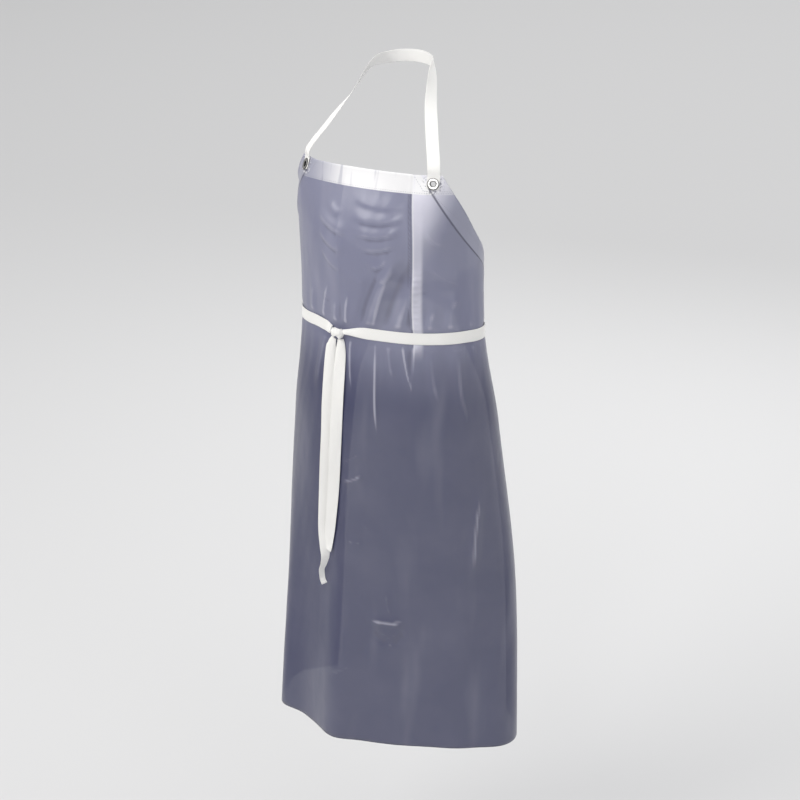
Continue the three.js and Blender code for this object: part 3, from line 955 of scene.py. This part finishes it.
# The bend at a place is the height at four places round it less four times its own: below 0 on a crease.
def makePanel():
    even = panel["evenShare"]
    share = np.linspace(0, 1, panel["rows"])
    drops = apronLength * (even * share + (1 - even) * share**2)
    sides = np.linspace(-1, 1, panel["columns"])
    sides = sides * (even + (1 - even) * sides**2)
    down = np.broadcast_to(drops[:, None], (panel["rows"], panel["columns"])).copy()
    across = sides[None, :] * halfSheet(down)
    height = lambda x, d: foldHeight(x, d, angleAt(x, d))
    step = panel["bendStep"]
    around = height(across + step, down) + height(across - step, down)
    around = around + height(across, down + step) + height(across, down - step)
    bend = (around - 4 * height(across, down)) / panel["fullBend"]
    # the crest and valley marks feed the film's colour: partly painted highlight on crests, painted shade in
    # valleys
    marks = {"crease": np.clip(-bend, 0, 1), "valley": np.clip(bend, 0, 1)}
    piece = sheetLayer("vinylSheet", across, down, 0, cut["thickness"], marks)
    punch(piece, *spots)
    return finishPiece(piece, vinyl, "apron", "vinyl", "vinyl_panel")


# A layer behind the sheet, counted from it, between two lines that are worked out from the drop.
def facingLayer(name, layer, leftEdge, rightEdge, top, low, rows, columns):
    down = np.broadcast_to(np.linspace(top, low, rows)[:, None], (rows, columns)).copy()
    share = np.linspace(0, 1, columns)[None, :]
    left, right = leftEdge(down), rightEdge(down)
    flat = {"crease": down * 0, "valley": down * 0}
    lift = -layer * panel["layerPitch"]
    return sheetLayer(name, left + (right - left) * share, down, lift, cut["thickness"], flat)


# Such a layer along one side: from a distance in from the free edge out to the edge.
def sideLayer(name, layer, side, reach, top, low, rows, columns):
    inner = lambda d: sign * (halfSheet(d) - reach)
    outer = lambda d: sign * (halfSheet(d) - panel["inset"])
    sign = 1 if side == "Left" else -1
    edges = (inner, outer) if side == "Left" else (outer, inner)
    return facingLayer(name, layer, *edges, top, low, rows, columns)


def makeFacings():
    inset, patch, foot = panel["inset"], panel["patchSide"], cut["armholeDrop"]
    edge = lambda d: halfSheet(d) - inset
    top = facingLayer("topFacing", 1, lambda d: -edge(d), edge, inset, cut["bandDepth"], 12, 150)
    made = [finishPiece(punch(top, "bibLeft", "bibRight"), facing, "apron", "vinyl_facing", "top_facing")]
    for side in ("Left", "Right"):
        plans = [
            ("armholeFacing", 2, cut["armholeBand"], inset, foot, 80, 12, "armhole_facing", "bib"),
            ("bibPatch", 3, patch, inset, cut["bandDepth"] - 1 * mm, 14, 20, "bib_patch", "bib"),
            ("sidePatch", 1, patch, foot + inset, foot + inset + patch, 18, 18, "side_patch", "side"),
        ]
        for name, layer, reach, start, low, rows, columns, node, hole in plans:
            piece = sideLayer(name + side, layer, side, reach, start, low, rows, columns)
            punch(piece, hole + side)
            node = f"{node}_{side.lower()}"
            made.append(finishPiece(piece, facing, "apron", "vinyl_facing", node))
    return made


sheetPiece = makePanel()
facingPieces = makeFacings()
print("sheet and facings made")


# stitching

seam = {
    "stitch": 3.0 * mm,
    "gap": 1.3 * mm,
    "thick": 0.55 * mm,
    "lift": 0.3 * mm,
    "sides": 6,
    "rings": 5,
    # how far in from a free edge the rows stop, and from a facing's own edge
    "margin": 3 * mm,
    "facingMargin": 2.5 * mm,
    "patch": 52 * mm,
}


# A row of stitches on the sheet between two places on the cut: small capsules, all worked out at once.
def stitchRow(start, end):
    length = math.hypot(end[0] - start[0], end[1] - start[1])
    count = max(2, round(length / (seam["stitch"] + seam["gap"])))
    middles = (np.arange(count) + 0.5) / count
    half = seam["stitch"] / 2 / length
    place = lambda share: (start[0] + (end[0] - start[0]) * share, start[1] + (end[1] - start[1]) * share)
    lift = np.full(count, seam["lift"])
    first, last = onSheet(*place(middles - half), lift), onSheet(*place(middles + half), lift)
    centre = (first + last) / 2
    along = last - first
    across, down = place(middles)
    face = outward(angleAt(across, down), down)
    aside = unit(np.cross(along, face))
    ring = np.linspace(-1, 1, seam["rings"] + 2)[1:-1]
    turn = np.linspace(0, 2 * math.pi, seam["sides"], endpoint=False)
    swell = np.sqrt(1 - ring**4) * seam["thick"] / 2
    body = (
        centre[:, None, None, :]
        + along[:, None, None, :] * ring[None, :, None, None] / 2
        + aside[:, None, None, :] * (swell[:, None] * np.cos(turn))[None, :, :, None]
        + face[:, None, None, :] * (swell[:, None] * np.sin(turn))[None, :, :, None]
    )
    return body.reshape(-1, 3), count, first, last


def makeStitches():
    edge, patch = seam["margin"], seam["patch"]
    low = cut["bandDepth"] - seam["facingMargin"]
    inner = cut["armholeBand"] - seam["facingMargin"]
    foot = cut["armholeDrop"]
    patchLow, patchTop, patchFoot = low - 3.5 * mm, foot + 4 * mm, foot + patch
    rows = [((-halfSheet(low) + edge, low), (halfSheet(low) - edge, low))]
    for sign in (1, -1):
        at = lambda back, down: (sign * (halfSheet(down) - back), down)
        rows += [
            (at(inner, low + edge), at(inner, foot - edge)),
            (at(patch, edge), at(patch, low - edge)),
            (at(patch, patchLow), at(edge, patchLow)),
            (at(patch, patchTop), at(patch, patchFoot)),
            (at(patch, patchFoot), at(edge, patchFoot)),
            (at(patch, patchTop), at(edge, patchTop)),
        ]
    points, quads, triangles, first = [], [], [], 0
    rings, sides = seam["rings"], seam["sides"]
    for start, end in rows:
        body, count, heads, feet = stitchRow(start, end)
        base = first + np.arange(count)[:, None] * rings * sides
        tube = gridFaces(rings, sides, wrap=True)
        quads.append((base[:, :, None] + tube[None]).reshape(-1, 4))
        ring = np.arange(sides)
        nextRing, last = np.roll(ring, -1), (rings - 1) * sides
        headIds = first + count * rings * sides + np.arange(count)[:, None]
        headCap = (headIds, base + ring, base + nextRing)
        footCap = (headIds + count, base + last + nextRing, base + last + ring)
        for corners in (headCap, footCap):
            triangles.append(np.stack(np.broadcast_arrays(*corners), -1).reshape(-1, 3))
        points += [body, heads, feet]
        first += len(body) + 2 * count
    points = np.concatenate(points)
    uv = np.zeros((len(points), 2))
    return closedObject("stitching", points, np.concatenate(quads), np.concatenate(triangles), uv)


stitching = finishPiece(makeStitches(), thread, "apron", "cotton_tape")
print("stitching made")


# eyelets and washers

def makeEyelets():
    made = []
    size = eyelet
    for name, spot in spots.items():
        layers = 3 if name.startswith("bib") else 1
        back = -(layers * panel["layerPitch"] + 2.2 * mm)
        under = size["tapeTop"]
        rise = size["flangeThickness"]
        crown = np.linspace(0, math.pi, 9)
        middle, reach = (size["hole"] + size["flange"]) / 2, (size["flange"] - size["hole"]) / 2
        # the flange is a low rolled crown from the rim to the hole, and the barrel goes through to the back
        height = lambda t: under + rise * (0.15 + 0.85 * math.sin(t) ** 0.7)
        flange = [(middle + reach * math.cos(t), height(t)) for t in crown]
        profile = [
            (size["flange"], under), *flange, (size["hole"], back - 0.9 * mm),
            (size["hole"] + 0.9 * mm, back - 1.2 * mm), (size["barrel"] + 1.0 * mm, back - 0.7 * mm),
            (size["barrel"], back - 0.2 * mm), (size["barrel"], under),
        ]
        side = "left" if name.endswith("Left") else "right"
        place = name[: -len(side)]
        ring = turned(f"{name}Eyelet", profile, spot)
        made.append(finishPiece(ring, nickel, "apron", "nickel", f"{place}_eyelet_{side}"))
        hole, rim = size["barrel"] + 0.3 * mm, size["flange"] - 0.5 * mm
        disc = [
            (hole, back), (rim - 0.4 * mm, back), (rim, back + 0.3 * mm), (rim, back + 0.6 * mm),
            ((hole + rim) / 2, back + 0.9 * mm), (hole, back + 0.7 * mm),
        ]
        washer = turned(f"{name}Washer", disc, spot)
        made.append(finishPiece(washer, nickel, "apron", "nickel", f"{place}_washer_{side}"))
    return made


eyeletPieces = makeEyelets()
print("eyelets made")


# cotton tapes

tape = {
    "width": 23 * mm,
    "thickness": 1.2 * mm,
    "lift": 1.7 * mm,
    "endPastHole": 8.5 * mm,
    "collar": (0.0666, -0.060, -0.016),
    "bendLift": 9 * mm,
}


def tapeNoise(run, seed, wavelength, height):
    random = np.random.default_rng(seed)
    total = np.zeros(run.shape)
    for _ in range(4):
        turn = run * 2 * math.pi / wavelength * random.uniform(0.6, 1.7)
        total = total + np.sin(turn + random.uniform(0, 6.28))
    return total * height / 4


strapFacing = {
    # which way the tape's face looks at a third and at three quarters of the way up to the collar
    "Left": ((0.35, -0.85, 0.4), (0.6, -0.4, 0.7)),
    "Right": ((-0.62, -0.68, 0.4), (-0.8, -0.3, 0.6)),
}


# Half of the strap as rows of place and facing: up the front of the bib, over its edge and round to the nape.
def strapHalf(side, nape):
    spot = spots[f"bib{side}"]
    drops = np.linspace(spot["drop"] + tape["endPastHole"], 0.001, 7)
    onBib = onSheet(np.full(7, spot["across"]), drops, np.full(7, tape["lift"]))
    foot = onBib[-1].copy()
    foot[2] = bibTop + tape["bendLift"]
    sideways = 1 if side == "Left" else -1
    collar = np.array(tape["collar"]) * (sideways, 1, 1)
    between = lambda a, b, *shares: a + (b - a) * np.array(shares)
    lower, upper = strapFacing[side]
    rows = [(*point, *spot["face"]) for point in onBib]
    rows += [
        (*foot, *spot["face"]),
        (*between(foot, collar, 0.36, 0.32, 0.34), *lower),
        (*between(foot, collar, 0.76, 0.7, 0.7), *upper),
        (*collar, 0.9 * sideways, -0.05, 0.45),
        (*between(collar, nape, 0.32, 0.67, 0.81), 0.7 * sideways, 0.7, 0.15),
    ]
    return np.array(rows), foot


def makeNeckStrap():
    nape = np.array([0, tape["thickness"] / 2, 0])
    left, foot = strapHalf("Left", nape)
    right, _ = strapHalf("Right", nape)
    line = smoothLine(np.concatenate([left, [(*nape, 0, 1, 0)], right[::-1]]), 260)
    run = np.linspace(0, 1, len(line))
    cup = tapeNoise(run, 3, 0.3, 0.5 * mm) * smooth((run - 0.06) / 0.1) * smooth((0.94 - run) / 0.1)
    strap = tapeMesh("neckStrap", line[:, :3], line[:, 3:], tape["width"], tape["thickness"], cup=cup)
    punch(strap, "bibLeft", "bibRight")
    nodes = ("neck_strap", "neck_strap_end_left", "neck_strap_end_right")
    finishPiece(strap, cotton, None, "cotton_tape", *nodes)
    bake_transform(strap)
    return strap


tie = {
    "knotAngle": -17.5,
    "knotReach": 4.0,
    "crossLift": 2.0 * mm,
    "settling": 45,
    "climbShare": 0.4,
    "steps": 330,
    # how each tie nears the knot: over how many degrees and how much narrower, and which lies over the other
    "Left": {"sign": 1, "reach": 9, "pinch": 0.30, "over": 0, "seed": 30},
    "Right": {"sign": -1, "reach": 17, "pinch": 0.60, "over": 1, "seed": 34},
}


def makeTie(side):
    plan, spot = tie[side], spots[f"side{side}"]
    hidden = float(tape["endPastHole"] * degreesPer(spot["angle"], spot["drop"]))
    start = abs(float(spot["angle"])) - hidden
    stop = 360 + plan["sign"] * tie["knotAngle"] - tie["knotReach"]
    slopeStart = abs(float(spot["angle"])) + hidden
    slopeEnd = 360 - slopeStart
    turn = np.linspace(start, stop, tie["steps"])
    foot = float(spot["drop"])
    level = foot + (waistDrop - foot) * smooth((turn - slopeStart) / (slopeEnd - slopeStart))
    angle = plan["sign"] * turn
    shown = (angle + 180) % 360 - 180
    settled = smooth((turn - slopeEnd) / 30)
    level = level + (tieDrop(shown) - waistDrop) * settled
    climb = (180 - slopeStart) * tie["climbShare"]
    crossing = smooth((turn - slopeStart) / climb) * (1 - smooth((turn - slopeEnd) / tie["settling"]))
    near = 1 - smooth((stop - turn) / plan["reach"])
    lift = tape["lift"] + 0.35 * mm - drape["groove"] * settled + plan["over"] * tie["crossLift"] * crossing
    lift = lift + near**2 * 5.0 * mm + tapeNoise(turn / 360, plan["seed"], 0.06, 0.35 * mm)
    path = onForm(angle, level) + outward(angle, level) * lift[:, None]
    cup = tapeNoise(turn / 360, plan["seed"] + 1, 0.12, 0.7 * mm) * smooth((turn - slopeStart) / 20)
    cup = cup - near * 1.6 * mm
    facing = outward(angle, level)
    facing[:, 2] += near * 0.4
    width = tape["width"] * (1 - near * plan["pinch"])
    thickness = tape["thickness"] * (1 + near * 1.2)
    piece = tapeMesh(f"waistTie{side}", path, facing, width, thickness, cup=cup)
    punch(piece, f"side{side}")
    return finishPiece(piece, cotton, "apron", "cotton_tape", f"waist_tie_{side.lower()}")


# The knot's own directions: sideways to the wearer's left, up, and outwards.
knotLow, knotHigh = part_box("waist_knot")
knotOut = outward(np.array(tie["knotAngle"]), np.array(waistDrop))
knotOut = unit(np.array([knotOut[0], knotOut[1], 0]))
knotSide = np.cross([0, 0, 1.0], knotOut)
knotMiddle = np.array((knotLow + knotHigh) / 2) + knotSide * 4 * mm + knotOut * 1 * mm


# A band of the knot, each row of it a place in millimetres and a facing, both along the knot's directions.
def knotBand(name, rows, width, thickness, cup):
    axes = np.stack([knotSide, [0, 0, 1.0], knotOut])
    rows = np.asarray(rows, float)
    line = smoothLine(np.concatenate([knotMiddle + rows[:, :3] * mm @ axes, rows[:, 3:] @ axes], 1), 48)
    return tapeMesh(name, line[:, :3], line[:, 3:], width, thickness, cup=cup)


def makeKnot():
    bow = np.sin(np.linspace(0, math.pi, 48)) * mm
    bands = [
        # the band over the front, from high on the wearer's left to low on the right
        knotBand("knotFront", [
            (12, 5, -4, 0.7, 0.5, 0.2), (9, 5, 1.5, 0.4, 0.4, 0.8), (2, 2, 5.6, 0, 0.1, 1),
            (-6, -2.5, 4.6, -0.3, -0.2, 0.9), (-10, -6, -1, -0.8, -0.4, 0.3), (-8, -7, -4, -0.5, -0.8, -0.4),
        ], 10.5 * mm, 1.9 * mm, -1.5 * bow),
        # the band under it, the other way
        knotBand("knotUnder", [
            (-14, 3.5, -4, -0.6, 0.5, 0.4), (-10, 3.5, 0.5, -0.4, 0.4, 0.8), (-2, 1.5, 2.8, 0, 0.1, 1),
            (6, -2.5, 2.6, 0.3, -0.2, 0.9), (10, -6, 0, 0.7, -0.4, 0.4), (9, -8, -4, 0.5, -0.8, -0.2),
        ], 9.5 * mm, 2.0 * mm, -1.3 * bow),
        # the turn that goes round behind
        knotBand("knotBack", [
            (-10, 6, -4, -0.5, 0.8, 0.2), (-3, 7, -0.5, -0.1, 0.8, 0.6), (5, 6.5, 0.5, 0.2, 0.7, 0.7),
            (11, 3, -1, 0.7, 0.3, 0.6), (12, -3, -3, 0.9, -0.2, 0.3), (9, -6, -4, 0.6, -0.7, 0),
        ], 7.5 * mm, 2.2 * mm, -1.0 * bow),
    ]
    return finishPiece(joined(bands, "waistKnot"), cotton, "apron", "cotton_tape", "waist_knot")


tails = {
    # each row: angle on the form, drop, lift, how much its face looks to the wearer's left, and width
    "Short": {
        "rows": [(-14.2, 332, 6.5, 0.30, 12), (-13.6, 345, 7.5, 0.35, 17), (-13.3, 372, 8.0, 0.40, 21),
                 (-12.9, 448, 8.0, 0.45, 23), (-13.4, 531, 8.0, 0.50, 23), (-15.0, 618, 8.0, 0.45, 23),
                 (-17.2, 709, 8.0, 0.30, 22), (-18.8, 757, 8.0, 0.10, 20), (-19.4, 778, 8.5, -0.10, 18)],
        "body": "short_tail",
        "seed": 40,
    },
    "Long": {
        "rows": [(-19.2, 332, 6.5, 0.00, 12), (-20.2, 345, 8.0, 0.20, 18), (-20.3, 372, 9.0, 0.45, 22),
                 (-19.2, 453, 9.5, 0.50, 23), (-19.1, 536, 9.5, 0.50, 23), (-20.6, 625, 9.5, 0.50, 23),
                 (-21.5, 714, 9.5, 0.60, 22.5), (-21.0, 765, 9.5, 1.00, 20), (-20.6, 794, 9.5, 1.70, 17),
                 (-21.8, 813, 9.5, 2.60, 14), (-22.8, 828, 10.0, 3.40, 12.5), (-22.2, 842, 10.5, 3.20, 12),
                 (-20.6, 853, 11.0, 2.60, 12)],
        "body": "long_tail",
        "seed": 50,
    },
}


def makeTail(name):
    plan = tails[name]
    angle, drop, lift, lean, width = np.array(plan["rows"], float).T
    drop = drop * mm
    face = outward(angle, drop)
    aside = unit(np.cross([0, 0, 1.0], face))
    places = onForm(angle, drop) + face * (lift * mm)[:, None]
    ways = unit(face + aside * lean[:, None])
    line = smoothLine(np.concatenate([places, ways, width[:, None] * mm], 1), 150)
    run = np.linspace(0, 1, len(line))
    sway = tapeNoise(run, plan["seed"], 0.45, 0.8 * mm) * smooth(run / 0.15)
    path = line[:, :3] + unit(line[:, 3:6]) * sway[:, None]
    cup = tapeNoise(run, plan["seed"] + 1, 0.4, 1.3 * mm) - 2.4 * mm * (1 - smooth(run / 0.12))
    piece = tapeMesh(f"tieTail{name}", path, line[:, 3:6], line[:, 6], tape["thickness"], cup=cup)
    return finishPiece(piece, cotton, plan["body"], "cotton_tape", f"tie_tail_{name.lower()}")


strapPiece = makeNeckStrap()
tieLeft = makeTie("Left")
tieRight = makeTie("Right")
makeKnot()
tailShort = makeTail("Short")
tailLong = makeTail("Long")
print("tapes made")
